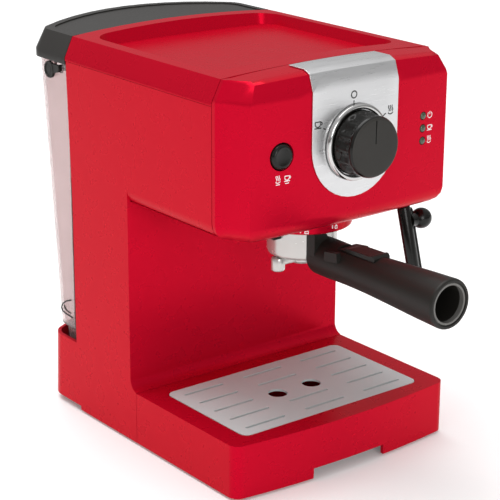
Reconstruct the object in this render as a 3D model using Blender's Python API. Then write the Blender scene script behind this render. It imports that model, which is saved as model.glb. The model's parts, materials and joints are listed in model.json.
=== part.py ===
# A pump espresso machine: housing, head, brew group, portafilter, steam wand, drip tray and water tank.
# Run with: blender --background --python part.py
#
# Sizes are in millimetres and the mesh builders turn them into metres. The drawing frame has X to the
# right, Y from the front panel to the back and Z up from the housing's lower edge. to_world() moves the
# finished shape so that the origin is the middle of the footprint, at the bottom of the feet.

import math

import bmesh
import bpy
from mathutils import Vector

MM = 0.001

# Driving dimensions
HALF_W = 100.0  # half the machine's width
WALL = 3.0  # moulded wall
GAP = 0.3  # air between touching pieces
FOOT_H = 2.0  # feet below the housing's lower edge
HANDLE_END_Y = -101.0  # tip of the portafilter handle
REAR_Y = 284.0  # back of the tank lid

BASE_H = 40.0  # top of the drip tray deck
TRAY_BACK_Y = 121.0
TRAY_BOW = 6.0  # how far the tray front stands forward at its middle
COLUMN_Y = 128.3  # column front
COLUMN_FILLET = 9.0
COLUMN_BACK_Y = 202.5
HEAD_Z = 183.0  # underside of the head
HEAD_EDGE_R = 12.0  # rounded lower edge of the head
MASK_BACK_Y = 26.3
MASK_BOW = 3.0
SEAM_Z = 276.0  # joint between the housing and the top cover
CHAMFER_Z = 278.5
TOP_Z = 293.3  # upper edge of the chamfer
CHAMFER_W = 7.7
CROWN = 3.0  # rise of the top between its edges

REAR_R = 175.0  # radius of the bowed back
REAR_CORNER_R = 18.0
CRADLE_Z = 55.0  # rim of the tank cradle
CRADLE_FLOOR = 30.0
CRADLE_REAR = 269.0
CRADLE_DRAFT = 3.0
TOP_REAR_SIDE = 207.0  # back edge of the top cover at its sides
TOP_REAR_BOW = 6.0

GROUP_Y = 52.0  # brew group axis
KNOB_Z = 243.0
BUTTON = (-63.0, 242.0)
LAMP_X = 65.0
LAMP_ZS = (251.0, 242.0, 233.0)
PLATE_HALF_W = 38.5

TANK_TOP = 272.5
TANK_STEP = 62.0
TANK_BOTTOM = 36.0
TANK_WALL = 2.5
TANK_HALF_W = 97.3  # above its step
LID_BOTTOM = 273.0
LID_HINGE = (282.5, 275.0)
TANK_PIVOT = (231.0, 265.5)
BAIL_BAR = (219.6, 268.0)  # the tank handle's cross bar
VALVE_Y = 235.0

BOWL_R = 25.5
BOWL_Z = (150.0, 178.5)
HANDLE_Z = 153.0
CLIP_PIVOT = (1.0, 169.2)

WAND = (75.0, 30.0, 189.0)  # centre of the wand's ball
WAND_LEAN = math.radians(16.0)

Y_MID = (HANDLE_END_Y + REAR_Y) / 2

RED = (0.58, 0.005, 0.022)
DARK = (0.045, 0.042, 0.040)
BLACK = (0.014, 0.013, 0.012)
STEEL = (0.50, 0.50, 0.49)
ALUMINIUM = (0.62, 0.62, 0.63)


# ---- frame, materials and booleans ----

def to_world(point):
    x, y, z = point
    return Vector((x * MM, (y - Y_MID) * MM, (z + FOOT_H) * MM))


def make_solid(name, verts, faces):
    mesh = bpy.data.meshes.new(name)
    mesh.from_pydata([to_world(v) for v in verts], [], faces)
    bm = bmesh.new()
    bm.from_mesh(mesh)
    bmesh.ops.recalc_face_normals(bm, faces=bm.faces)
    bm.to_mesh(mesh)
    bm.free()
    solid = bpy.data.objects.new(name, mesh)
    bpy.context.scene.collection.objects.link(solid)
    return solid


def combine(target, tool, operation):
    """Cut, join or intersect target with tool, which is used up."""
    modifier = target.modifiers.new(tool.name, "BOOLEAN")
    modifier.operation = operation
    modifier.solver = "EXACT"
    modifier.object = tool
    graph = bpy.context.evaluated_depsgraph_get()
    mesh = bpy.data.meshes.new_from_object(target.evaluated_get(graph))
    target.modifiers.clear()
    old = target.data
    target.data = mesh
    bpy.data.meshes.remove(old)
    bpy.data.objects.remove(tool)
    return target


def cut(target, *tools):
    for tool in tools:
        combine(target, tool, "DIFFERENCE")
    return target


def join(target, *tools):
    for tool in tools:
        combine(target, tool, "UNION")
    return target


def finish(part, colour, roughness, metallic=0.0, pivot=None, alpha=1.0):
    """Give a part its own material, smooth its round faces and set its origin on its pivot."""
    material = bpy.data.materials.new(part.name)
    material.use_nodes = True
    shader = material.node_tree.nodes["Principled BSDF"]
    shader.inputs["Base Color"].default_value = (*colour, 1.0)
    shader.inputs["Roughness"].default_value = roughness
    shader.inputs["Metallic"].default_value = metallic
    shader.inputs["Alpha"].default_value = alpha
    material.diffuse_color = (*colour, alpha)
    part.data.materials.clear()
    part.data.materials.append(material)
    part.data.shade_smooth()
    part.data.set_sharp_from_angle(angle=math.radians(30))
    if pivot is not None:
        origin = to_world(pivot)
        for vertex in part.data.vertices:
            vertex.co -= origin
        part.location = origin
    return part


# ---- outlines: lists of (u, v) points ----

def arc(centre, radius, start, end, steps):
    points = []
    for i in range(steps + 1):
        angle = math.radians(start + (end - start) * i / steps)
        points.append((centre[0] + radius * math.cos(angle), centre[1] + radius * math.sin(angle)))
    return points


def rectangle(u0, u1, v0, v1):
    return [(u0, v0), (u1, v0), (u1, v1), (u0, v1)]


def rounded(u0, u1, v0, v1, radius, steps=4):
    points = arc((u1 - radius, v0 + radius), radius, -90, 0, steps)
    points += arc((u1 - radius, v1 - radius), radius, 0, 90, steps)
    points += arc((u0 + radius, v1 - radius), radius, 90, 180, steps)
    points += arc((u0 + radius, v0 + radius), radius, 180, 270, steps)
    return points


def bowed_rear(half_w, rear_y, corner_r=REAR_CORNER_R, steps=5):
    """The back of the tank and its cradle in plan, from -X to +X: an arc with rounded corners."""
    arc_y = rear_y - REAR_R
    corner_x = half_w - corner_r
    corner_y = arc_y + math.sqrt((REAR_R - corner_r) ** 2 - corner_x ** 2)
    spread = math.degrees(math.atan2(corner_x, corner_y - arc_y))
    points = arc((-corner_x, corner_y), corner_r, 180, 90 + spread, steps)
    points += arc((0, arc_y), REAR_R, 90 + spread, 90 - spread, 2 * steps)[1:-1]
    points += arc((corner_x, corner_y), corner_r, 90 - spread, 0, steps)
    return points


def top_rear(x):
    """Back edge of the red top, a shallow bow."""
    return TOP_REAR_SIDE + TOP_REAR_BOW * (1 - (x / HALF_W) ** 2)


def crown(x):
    """Height of the crowned top above its side edges."""
    return CROWN * max(0.0, 1 - (x / (HALF_W - CHAMFER_W)) ** 2)


# ---- solids ----

def loft(name, rings):
    """Skin rings of equal length, with a flat cap on each end."""
    count = len(rings[0])
    verts = [point for ring in rings for point in ring]
    faces = [list(range(count)), list(range(len(verts) - count, len(verts)))]
    for level in range(len(rings) - 1):
        low = level * count
        for i in range(count):
            j = (i + 1) % count
            faces.append([low + i, low + j, low + count + j, low + count + i])
    return make_solid(name, verts, faces)


def strip_loft(name, sections):
    """Skin sections, each a front row and a back row of equal length. The end caps run from row to row."""
    count = len(sections[0][0])
    rings = [list(front) + list(reversed(back)) for front, back in sections]
    total = 2 * count
    verts = [point for ring in rings for point in ring]
    faces = []
    for base in (0, (len(rings) - 1) * total):
        for i in range(count - 1):
            faces.append([base + i, base + i + 1, base + total - 2 - i, base + total - 1 - i])
    for level in range(len(rings) - 1):
        low = level * total
        for i in range(total):
            j = (i + 1) % total
            faces.append([low + i, low + j, low + total + j, low + total + i])
    return make_solid(name, verts, faces)


def prism(name, outline, axis, lo, hi):
    """Extrude an outline along X (points are y, z), Y (x, z) or Z (x, y)."""
    place = {
        "X": lambda u, v, w: (w, u, v),
        "Y": lambda u, v, w: (u, w, v),
        "Z": lambda u, v, w: (u, v, w),
    }[axis]
    return loft(name, [[place(u, v, w) for u, v in outline] for w in (lo, hi)])


def box(name, x0, x1, y0, y1, z0, z1):
    return prism(name, rectangle(x0, x1, y0, y1), "Z", z0, z1)


def turned(name, profile, centre, axis="Z", steps=32, tilt=0.0):
    """Turn a profile of (radius, height) points about an axis through centre. A profile that starts and
    ends on the axis is solid, and any other closes on itself into a ring. tilt leans a Z axis to -Y."""
    rings = []
    verts = []
    for radius, height in profile:
        ring = []
        for i in range(1 if radius == 0 else steps):
            angle = 2 * math.pi * i / steps
            u = radius * math.cos(angle)
            v = radius * math.sin(angle)
            if axis == "Y":
                local = (u, height, v)
            elif axis == "X":
                local = (height, u, v)
            else:
                y = v * math.cos(tilt) + height * math.sin(tilt)
                local = (u, y, height * math.cos(tilt) - v * math.sin(tilt))
            ring.append(len(verts))
            verts.append(tuple(c + d for c, d in zip(centre, local)))
        rings.append(ring)
    closed = profile[0][0] != 0
    faces = []
    for k in range(len(rings) if closed else len(rings) - 1):
        a = rings[k]
        b = rings[(k + 1) % len(rings)]
        for i in range(steps):
            j = (i + 1) % steps
            if len(a) == 1:
                faces.append([a[0], b[i], b[j]])
            elif len(b) == 1:
                faces.append([a[i], a[j], b[0]])
            else:
                faces.append([a[i], a[j], b[j], b[i]])
    return make_solid(name, verts, faces)


def ring_solid(name, inner, outer, low, high, centre, axis="Z", steps=32):
    return turned(name, [(inner, low), (inner, high), (outer, high), (outer, low)], centre, axis, steps)


def rod(name, radius, low, high, centre, axis="Z", steps=16):
    return turned(name, [(0, low), (radius, low), (radius, high), (0, high)], centre, axis, steps)


def smooth_route(points, steps=3):
    """A smooth curve through hand-placed points."""
    ends = [2 * Vector(points[0]) - Vector(points[1]), 2 * Vector(points[-1]) - Vector(points[-2])]
    knots = [ends[0]] + [Vector(p) for p in points] + [ends[1]]
    route = []
    for k in range(1, len(knots) - 2):
        p0, p1, p2, p3 = knots[k - 1:k + 3]
        for i in range(steps):
            t = i / steps
            route.append(0.5 * (2 * p1 + (p2 - p0) * t + (2 * p0 - 5 * p1 + 4 * p2 - p3) * t ** 2
                                + (3 * p1 - p0 - 3 * p2 + p3) * t ** 3))
    route.append(knots[-2])
    return route


def swept(name, points, radius, sides=8):
    """A round hose or pipe along points."""
    route = [Vector(p) for p in points]
    normal = None
    rings = []
    for k, point in enumerate(route):
        tangent = (route[min(k + 1, len(route) - 1)] - route[max(k - 1, 0)]).normalized()
        if normal is None:
            normal = tangent.orthogonal().normalized()
        normal = (normal - tangent * normal.dot(tangent)).normalized()
        side = tangent.cross(normal)
        ring = []
        for i in range(sides):
            angle = 2 * math.pi * i / sides
            ring.append(tuple(point + radius * (math.cos(angle) * normal + math.sin(angle) * side)))
        rings.append(ring)
    return loft(name, rings)


# ---- housing ----

def cradle_prism(name, inset, front_y, low, high):
    """The tank cradle's plan shape, with its draft, between two heights."""
    rings = []
    for z in (low, high):
        rear_y = CRADLE_REAR - CRADLE_DRAFT * z / CRADLE_Z - inset
        rear = bowed_rear(HALF_W - inset, rear_y, REAR_CORNER_R - inset)
        rings.append([(-HALF_W + inset, front_y, z), *((x, y, z) for x, y in rear),
                      (HALF_W - inset, front_y, z)])
    return loft(name, rings)


def head_edge(name, side):
    """What is cut off one lower edge of the head to round it."""
    start = (HALF_W - HEAD_EDGE_R, HEAD_Z + HEAD_EDGE_R)
    outline = [(side * x, z) for x, z in arc(start, HEAD_EDGE_R, 0, -90, 6)]
    outline += [(side * (HALF_W - HEAD_EDGE_R), HEAD_Z - 2), (side * (HALF_W + 2), HEAD_Z - 2)]
    outline += [(side * (HALF_W + 2), HEAD_Z + HEAD_EDGE_R)]
    return prism(name, outline, "Y", 10, COLUMN_Y)


def build_main_housing():
    fillet = arc((COLUMN_Y - COLUMN_FILLET, BASE_H + COLUMN_FILLET), COLUMN_FILLET, -77, 0, 6)
    side = [(TRAY_BACK_Y + GAP, 0)] + fillet + [
        (COLUMN_Y, HEAD_Z), (MASK_BACK_Y + 2 * GAP, HEAD_Z), (MASK_BACK_Y + 2 * GAP, SEAM_Z - GAP),
        (206, SEAM_Z - GAP), (206, 268), (COLUMN_BACK_Y, 172), (COLUMN_BACK_Y, CRADLE_Z),
        (CRADLE_REAR + 5, CRADLE_Z), (CRADLE_REAR + 5, 3.2), (198.5, 3.2), (198.5, 0)]
    housing = prism("main_housing", side, "X", -HALF_W - 1, HALF_W + 1)
    combine(housing, cradle_prism("plan", 0, -20, -5, SEAM_Z + 20), "INTERSECT")
    cut(housing, head_edge("left_edge", -1), head_edge("right_edge", 1))
    inner = [(TRAY_BACK_Y + WALL, -5), (TRAY_BACK_Y + WALL, 37), (COLUMN_Y + WALL, 47),
             (COLUMN_Y + WALL, HEAD_Z + WALL), (0, HEAD_Z + WALL), (0, SEAM_Z + 9), (215, SEAM_Z + 9),
             (215, CRADLE_Z + 4), (COLUMN_BACK_Y - WALL, CRADLE_Z + 4), (COLUMN_BACK_Y - WALL, -5)]
    cut(housing, prism("inner", inner, "X", WALL - HALF_W, HALF_W - WALL))
    join(housing, head_corner_fill("corner_left", -1), head_corner_fill("corner_right", 1))
    cut(housing,
        cradle_prism("cradle_hollow", WALL, COLUMN_BACK_Y, CRADLE_FLOOR, CRADLE_Z + 5),
        cradle_prism("cradle_under", WALL, 190, -5, CRADLE_FLOOR - WALL),
        box("tongue_slot", -94.6, 94.6, 115, 127, -5, 4.3),
        rod("seal_hole", 9.2, 20, 40, (0, VALVE_Y, 0), steps=24),
        rod("gland_hole", 7.4, 245, 275, (60, 0, 15), "Y", 24))
    join(housing, box("head_floor", -86, 86, 15, 35, HEAD_Z, HEAD_Z + WALL))
    cut(housing,
        rod("group_hole", 33.5, 175, 195, (0, GROUP_Y, 0), steps=32),
        rod("wand_hole", 9.2, 175, 195, (WAND[0], WAND[1], 0), steps=24))
    return finish(housing, RED, 0.22)


def head_corner_fill(name, side):
    """Thickens the rounded lower edge of the head from inside, so that its wall has no thin spot."""
    centre = (HALF_W - HEAD_EDGE_R, HEAD_Z + HEAD_EDGE_R)
    shell = arc(centre, HEAD_EDGE_R - WALL, 5, -95, 6) + arc(centre, HEAD_EDGE_R - 0.8, -95, 5, 6)
    outline = [(side * x, z) for x, z in shell]
    return prism(name, outline, "Y", MASK_BACK_Y + 2 * GAP, COLUMN_Y + WALL + 0.5)


def recess_outline(inset):
    """Plan of the cup-warming recess: a rectangle with round corners and a bowed back."""
    points = rounded(-84 + inset, 84 - inset, 44 + inset, 196 - inset, 16 - inset, 5)
    bowed = []
    for x, y in points:
        lift = 5 * (1 - (x / 84) ** 2) if y > 160 else 0
        bowed.append((x, y + lift))
    middle = len(bowed) // 2
    crest = [(x, 196 - inset + 5 * (1 - (x / 84) ** 2)) for x in (45, 22, 0, -22, -45)]
    return bowed[:middle] + crest + bowed[middle:]


def build_top_cover():
    edge = HALF_W - CHAMFER_W
    xs = [-HALF_W, -edge] + [edge * math.sin(math.radians(a)) for a in range(-60, 61, 15)] + [edge, HALF_W]
    upper = [(x, (CHAMFER_Z if abs(x) == HALF_W else TOP_Z + crown(x))) for x in xs]
    front_y = MASK_BACK_Y + 2 * GAP
    rows = []
    for y_of in (lambda x: front_y, top_rear):
        rows.append(([(x, y_of(x), SEAM_Z) for x in xs], [(x, y_of(x), z) for x, z in upper]))
    cover = strip_loft("top_cover", rows)
    low, high = 286.0, 300.0
    recess = loft("recess", [[(x, y, low) for x, y in recess_outline(3)],
                             [(x, y, high) for x, y in recess_outline(-1.5)]])
    cut(cover, recess)
    hollow = [(-95, 265), (95, 265), (92, 283), (-92, 283)]
    cut(cover, prism("hollow", hollow, "Y", 33, 199))
    return finish(cover, RED, 0.22)


def mask_front(x):
    """Plan of the mask's front: a bowed face between two facets on each side."""
    side = abs(x)
    if side <= 88.5:
        return -MASK_BOW * (1 - (side / 88.5) ** 2)
    if side <= 96:
        return (side - 88.5) / 7.5 * 18
    return 18 + (side - 96) * 1.3


def mask_block(name, skin, back_y):
    """The mask's outer shape moved out by skin (negative moves it in), with its lip and top chamfer."""
    xs = [-100, -96, -92, -88.5, -77, -63, -50, -38.5, -27, -14, 0]
    xs += [-x for x in reversed(xs[:-1])]
    levels = []  # height, inset of the sides, inset of the front
    for i in range(5):
        turn = math.radians(90 - 90 * i / 4)
        inset = HEAD_EDGE_R * (1 - math.cos(turn)) - skin * math.cos(turn)
        levels.append((HEAD_Z + HEAD_EDGE_R - (HEAD_EDGE_R + skin) * math.sin(turn), inset, inset))
    levels.append((CHAMFER_Z + 0.2 * skin, -skin, -skin))
    levels.append((282 + 0.3 * skin, 1.8 - skin, -skin))
    levels.append((291.5 + 0.6 * skin, CHAMFER_W - 0.9 - skin, 4.0 - skin))
    levels.append((TOP_Z + skin, CHAMFER_W - 0.5 * skin, 9.0 - 0.3 * skin))
    depth = back_y + MASK_BOW
    sections = []
    for level, (z, side_in, front_in) in enumerate(levels):
        front = []
        back = []
        for x in xs:
            near_x = x * (HALF_W - side_in) / HALF_W
            y = mask_front(x)
            near_y = y + front_in * (back_y - y) / depth
            top = level == len(levels) - 1
            rise = crown(x) if top else (0.85 * crown(x) if level == len(levels) - 2 else 0)
            front.append((near_x, near_y, z + rise))
            back.append((near_x, back_y, z + (crown(x) if top else rise)))
        sections.append((front, back))
    return strip_loft(name, sections)


def build_front_mask():
    mask = mask_block("front_mask", 0, MASK_BACK_Y)
    cut(mask, mask_block("hollow", -2.5, MASK_BACK_Y + 8))
    cut(mask, box("floor_slot", -86.4, 86.4, 14.6, 40, 170, 190),
        rod("spindle_hole", 5.5, -10, 10, (0, 0, KNOB_Z), "Y", 24),
        rod("button_hole", 9.8, -10, 10, (BUTTON[0], 0, BUTTON[1]), "Y", 32))
    for z in LAMP_ZS:
        cut(mask, rod("lamp_hole", 3.1, -10, 10, (LAMP_X, 0, z), "Y", 16))
    return finish(mask, RED, 0.22)


def build_trim_plate():
    plate = mask_block("trim_plate", 1.1, 60)
    cut(plate, mask_block("inner_face", 0.3, 70))
    outline = arc((0, KNOB_Z), PLATE_HALF_W, 180, 360, 20)
    outline += [(PLATE_HALF_W, 305), (-PLATE_HALF_W, 305)]
    combine(plate, prism("edge", outline, "Y", -12, 22.5), "INTERSECT")
    cut(plate, rod("spindle_hole", 5.5, -10, 10, (0, 0, KNOB_Z), "Y", 24))
    return finish(plate, STEEL, 0.28, 1.0)


def build_brew_collar():
    profile = [(32.6, 173.0), (32.6, HEAD_Z - GAP), (36.0, HEAD_Z - GAP), (36.0, 174.2), (34.8, 173.0)]
    return finish(turned("brew_collar", profile, (0, GROUP_Y, 0), steps=40), RED, 0.22)


def build_rear_panel():
    panel = box("rear_panel", 0.4 + WALL - HALF_W, HALF_W - WALL - 0.4, 198.6, 201.6,
                CRADLE_Z + 4.4, SEAM_Z - 0.6)
    for z in range(100, 260, 20):
        cut(panel, box("vent", 20, 60, 190, 210, z, z + 3))
    return finish(panel, DARK, 0.5)


def build_base():
    outline = [(-94, 9), (94, 9), (94, 128), (96.4, 128), (96.4, 196.5), (-96.4, 196.5), (-96.4, 128), (-94, 128)]
    plate = prism("base_plate", outline, "Z", 0.5, 3.6)
    finish(plate, BLACK, 0.55)
    profile = [(0, -FOOT_H), (8, -FOOT_H), (9, -1.2), (9, 0.2), (0, 0.2)]
    for end, y in (("front", 30), ("rear", 178)):
        for hand, x in (("left", -74), ("right", 74)):
            foot = turned(f"foot_{end}_{hand}", profile, (x, y, 0), steps=20)
            finish(foot, BLACK, 0.8)


def build_cord_gland():
    profile = [(3.6, 250), (3.6, 266), (5.2, 266), (6.8, 259.5), (6.8, 250)]
    return finish(turned("cord_gland", profile, (60, 0, 15), "Y", 20), BLACK, 0.6)


# ---- drip tray ----

def tray_plan(inset, back_y):
    """Plan of the tray: a bowed front between rounded corners."""
    half = HALF_W - inset
    radius = 8.0 - min(inset, 5)
    front = []
    for i in range(-6, 7):
        x = i / 6 * (half - radius)
        front.append((x, inset - TRAY_BOW * (1 - (x / (half - radius)) ** 2)))
    left = arc((radius - half, inset + radius), radius, 180, 255, 4)
    right = arc((half - radius, inset + radius), radius, 285, 360, 4)
    return [(-half, back_y)] + left + front + right + [(half, back_y)]


def build_drip_tray():
    frame = prism("tray_frame", tray_plan(0, TRAY_BACK_Y), "Z", 0, BASE_H)
    cut(frame,
        prism("under", tray_plan(WALL, TRAY_BACK_Y - WALL), "Z", -5, BASE_H - 3.5),
        box("back_slot", -96.8, 96.8, 110, 130, -5, 5.2),
        prism("opening", rounded(-80.6, 80.6, 13.9, 105.6, 5), "Z", 20, 50),
        prism("rebate", rounded(-82.9, 82.9, 11.6, 107.9, 6.4), "Z", BASE_H - 1.8, 50))
    notch = [(-33.6, -5), (-33.2, 7.7), (33.2, 7.7), (33.6, -5)]
    cut(frame, prism("finger_notch", notch, "Y", -15, WALL + 5))
    finish(frame, RED, 0.22)

    basin = prism("drip_basin", rounded(-80, 80, 14.5, 105, 5), "Z", 8, BASE_H - 2.2)
    cut(basin, prism("hollow", rounded(-78, 78, 16.5, 103, 4), "Z", 10, 50))
    finish(basin, BLACK, 0.4)

    grid = prism("drip_grid", rounded(-82.5, 82.5, 12, 107.5, 6), "Z", BASE_H - 1.4, BASE_H + 0.2)
    for row in range(5):
        y = 23 + 18.4 * row
        for column, (x0, x1) in enumerate(((-73.5, -37.5), (-18.5, 18.5), (37.5, 73.5))):
            if column == 1 and row == 2:
                continue
            cut(grid, prism("slot", rounded(x0, x1, y - 1.2, y + 1.2, 1.15, 2), "Z", 30, 50))
    for side in (-1, 1):
        cut(grid, rod("drain", 7.3, 30, 50, (16.2 * side, 58, 0), steps=24))
    finish(grid, STEEL, 0.3, 1.0)


# ---- brew group and boiler ----

def build_group():
    centre = (0, GROUP_Y, 0)
    finish(ring_solid("bayonet_ring", 28.6, 32.0, 174.2, 189.6, centre, steps=32), ALUMINIUM, 0.4, 1.0)
    finish(ring_solid("group_gasket", 24.8, 28.0, 179.2, 183.6, centre, steps=24), BLACK, 0.8)
    finish(turned("shower_screen", [(2.4, 181), (2.4, 183.6), (24.3, 183.6), (24.3, 182), (22.5, 181)],
                  centre, steps=24), STEEL, 0.35, 1.0)
    finish(turned("shower_screw", [(0, 179.6), (4.2, 179.6), (4.2, 180.7), (2.0, 180.7), (2.0, 183.6),
                                   (0, 183.6)], centre, steps=12), STEEL, 0.3, 1.0)
    base = turned("boiler_base", [(0, 184), (27.9, 184), (27.9, 190), (34, 190), (34, 194), (31, 194),
                                  (31, 203), (34, 203), (34, 208), (0, 208)], centre, steps=24)
    finish(base, ALUMINIUM, 0.45, 1.0)
    cap = turned("boiler_cap", [(0, 208.4), (34, 208.4), (34, 213), (29, 214), (27, 226), (20, 229), (0, 229)],
                 centre, steps=24)
    finish(cap, ALUMINIUM, 0.45, 1.0)
    finish(ring_solid("heater_ring", 31.4, 37.0, 194.6, 202.4, centre, steps=24), STEEL, 0.4, 1.0)
    for name, x in (("coffee_thermostat", -12), ("steam_thermostat", 12)):
        finish(rod(name, 7.5, 229.4, 238, (x, 66, 0), steps=20), ALUMINIUM, 0.5, 1.0)


def build_water_path():
    pump = turned("pump", [(0, 52), (5, 52), (5, 66), (17, 66), (17, 112), (8, 112), (8, 126), (4, 128),
                           (4, 136), (0, 136)], (-40, 165, 0), steps=18)
    finish(pump, (0.25, 0.25, 0.26), 0.5, 0.3)
    for name, low, high, hole in (("pump_mount_lower", 57, 64, 5.5), ("pump_mount_upper", 114, 122, 8.5)):
        finish(ring_solid(name, hole, 14, low, high, (-40, 165, 0), steps=20), BLACK, 0.85)
    suction = smooth_route([(0, VALVE_Y, 25), (-2, 225, 14), (-20, 196, 12), (-36, 172, 18), (-40, 165, 34),
                            (-40, 165, 51.5)])
    finish(swept("suction_hose", suction, 3.5), (0.6, 0.6, 0.58), 0.5)
    pressure = smooth_route([(-40, 165, 137.6), (-40, 165, 148), (-38, 152, 206), (-30, 118, 240),
                             (-14, 84, 252), (0, 60, 246), (0, 56, 236), (0, 56, 229.6)])
    finish(swept("pressure_pipe", pressure, 2.5), (0.75, 0.75, 0.72), 0.5)
    steam = smooth_route([(12.2, 20, KNOB_Z), (22, 20, KNOB_Z), (54, 27, 238), (72, 30, 222), (75, 30, 208),
                          (75, 30, 199)])
    finish(swept("steam_pipe", steam, 2.0), ALUMINIUM, 0.35, 1.0)


def build_controls():
    centre = (0, 0, KNOB_Z)
    bezel = turned("knob_bezel", [(23.2, -4.7), (23.2, -6.6), (24.2, -7.6), (25.6, -7.6), (27, -6.4),
                                  (27, -4.7)], centre, "Y", 48)
    finish(bezel, (0.7, 0.7, 0.7), 0.12, 1.0)

    scallops = 14  # wide finger grips around the side, which stop short of the front rim
    rings = []
    for y, radius, bite in ((-5.0, 22.6, 0.0), (-8.0, 22.6, 0.0), (-9.5, 22.4, 1.0), (-20.0, 21.8, 1.0),
                            (-21.8, 21.4, 0.0), (-23.6, 20.8, 0.0), (-24.5, 19.6, 0.0)):
        ring = []
        for i in range(scallops * 6):
            angle = 2 * math.pi * i / (scallops * 6)
            r = radius - bite * math.sin(math.pi * i / 6) ** 2
            ring.append((r * math.cos(angle), y, KNOB_Z + r * math.sin(angle)))
        rings.append(ring)
    knob = loft("knob", rings)
    cut(knob, box("pointer", -0.5, 0.5, -25, -24.0, KNOB_Z + 2, KNOB_Z + 18.8),
        rod("bore", 3.3, -17, 0, centre, "Y", 20))
    finish(knob, BLACK, 0.35, pivot=centre)
    finish(rod("valve_spindle", 2.9, -16.5, 11.8, centre, "Y", 16), STEEL, 0.35, 1.0, pivot=centre)

    switch = prism("selector_switch", rounded(-16, 16, KNOB_Z - 16, KNOB_Z + 16, 4, 3), "Y", 1, 9)
    cut(switch, rod("bore", 3.4, -5, 20, centre, "Y", 20))
    finish(switch, (0.5, 0.5, 0.48), 0.5)
    valve = turned("steam_valve", [(0, 12.4), (9, 12.4), (11, 15), (11, 26), (7, 30), (0, 30)], centre, "Y", 20)
    finish(valve, (0.55, 0.38, 0.16), 0.35, 1.0)

    x, z = BUTTON
    button = turned("push_button", [(0, -3.6), (4, -3.3), (7, -2.5), (8.7, -1.2), (9.3, 0.4), (9.3, 6), (0, 6)],
                    (x, 0, z), "Y", 28)
    finish(button, BLACK, 0.3, pivot=(x, 0, z))
    finish(prism("push_switch", rectangle(x - 11, x + 11, z - 11, z + 11), "Y", 10.4, 24), BLACK, 0.5)
    for name, z in zip(("lamp_power", "lamp_cup", "lamp_steam"), LAMP_ZS):
        lens = turned(name, [(0, -2.4), (1.6, -2.2), (2.7, -1.4), (2.7, 4.4), (0, 4.4)], (LAMP_X, 0, z), "Y", 16)
        finish(lens, (0.08, 0.11, 0.07), 0.15)
    finish(box("lamp_board", 50, 80, 5.0, 6.6, 222, 262), (0.02, 0.18, 0.06), 0.5)


# ---- portafilter ----

def build_portafilter():
    centre = (0, GROUP_Y, 0)
    low, high = BOWL_Z
    bowl = turned("portafilter_bowl", [(3, low), (22.5, low), (BOWL_R, low + 4), (BOWL_R, high), (23.6, high),
                                       (23.6, low + 6), (20.5, low + 3), (3, low + 3)], centre, steps=40)
    finish(bowl, (0.75, 0.75, 0.75), 0.12, 1.0, pivot=centre)
    basket = turned("filter_basket", [(1, 157), (21, 157), (23, 160), (23, 178.3), (22.2, 178.3), (22.2, 160.5),
                                      (20.6, 157.8), (1, 157.8)], centre, steps=28)
    finish(basket, STEEL, 0.3, 1.0, pivot=centre)
    for name, side in (("lug_left", -1), ("lug_right", 1)):
        lug = box(name, min(side * 20, side * 31.5), max(side * 20, side * 31.5), GROUP_Y - 7, GROUP_Y + 7,
                  165.5, 171)
        cut(lug, rod("bowl_clear", BOWL_R + GAP, 150, 190, centre, steps=40))
        finish(lug, BLACK, 0.4, pivot=centre)

    spout = turned("spout", [(0, 142.5), (8.5, 142.5), (10, 144), (10, 149.6), (0, 149.6)], centre, steps=24)
    for side in (-1, 1):
        ends = sorted((0, side * 22))
        join(spout, box("arm", ends[0], ends[1], GROUP_Y - 4.2, GROUP_Y + 4.2, 144, 149.2))
        join(spout, rod("tip", 5.0, 139.5, 149.4, (side * 22, GROUP_Y, 0), steps=20))
    for side in (-1, 1):
        cut(spout, rod("tip_bore", 3.6, 130, 147, (side * 22, GROUP_Y, 0), steps=20))
    finish(spout, (0.75, 0.75, 0.75), 0.12, 1.0, pivot=centre)

    profile = [(0, 38), (12.5, 38), (14, 34), (14.2, 20), (13.4, 6), (13.0, -15), (13.8, -40), (15.6, -68),
               (17.2, -90), (17.6, -97), (17.0, -100), (16.2, HANDLE_END_Y), (14.2, HANDLE_END_Y), (13.4, -99),
               (13.2, -60), (0, -60)]
    handle = turned("portafilter_handle", profile, (0, 0, HANDLE_Z), "Y", 32)
    neck = [(-13.6, 153), (-13.6, 172.5), (-3.5, 172.5), (-1.5, 169), (3, 165), (3, 153)]
    join(handle, prism("neck", neck, "Y", 20.5, 34))
    cut(handle, rod("bowl_clear", BOWL_R + GAP, 130, 190, centre, steps=40))
    finish(handle, BLACK, 0.4, pivot=centre)

    y, z = CLIP_PIVOT
    clip = turned("basket_clip", [(0, -9), (2.4, -9), (2.4, 9), (0, 9)], (0, y, z), "X", 16)
    leaf = [(y - 1, z + 1.9), (y - 7, z + 0.4), (y - 11, z + 1.7), (y - 33, z + 1.2), (y - 35.5, z - 0.4),
            (y - 34, z - 1.9), (y - 1, z - 1.9)]
    join(clip, prism("leaf", leaf, "X", -8, 8))
    finish(clip, BLACK, 0.4, pivot=(0, y, z))


# ---- steam wand ----

def along_wand(distance, side=0.0):
    """A point on the wand's centre line, measured down from the ball."""
    x, y, z = WAND
    return (x + side, y - distance * math.sin(WAND_LEAN), z - distance * math.cos(WAND_LEAN))


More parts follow.
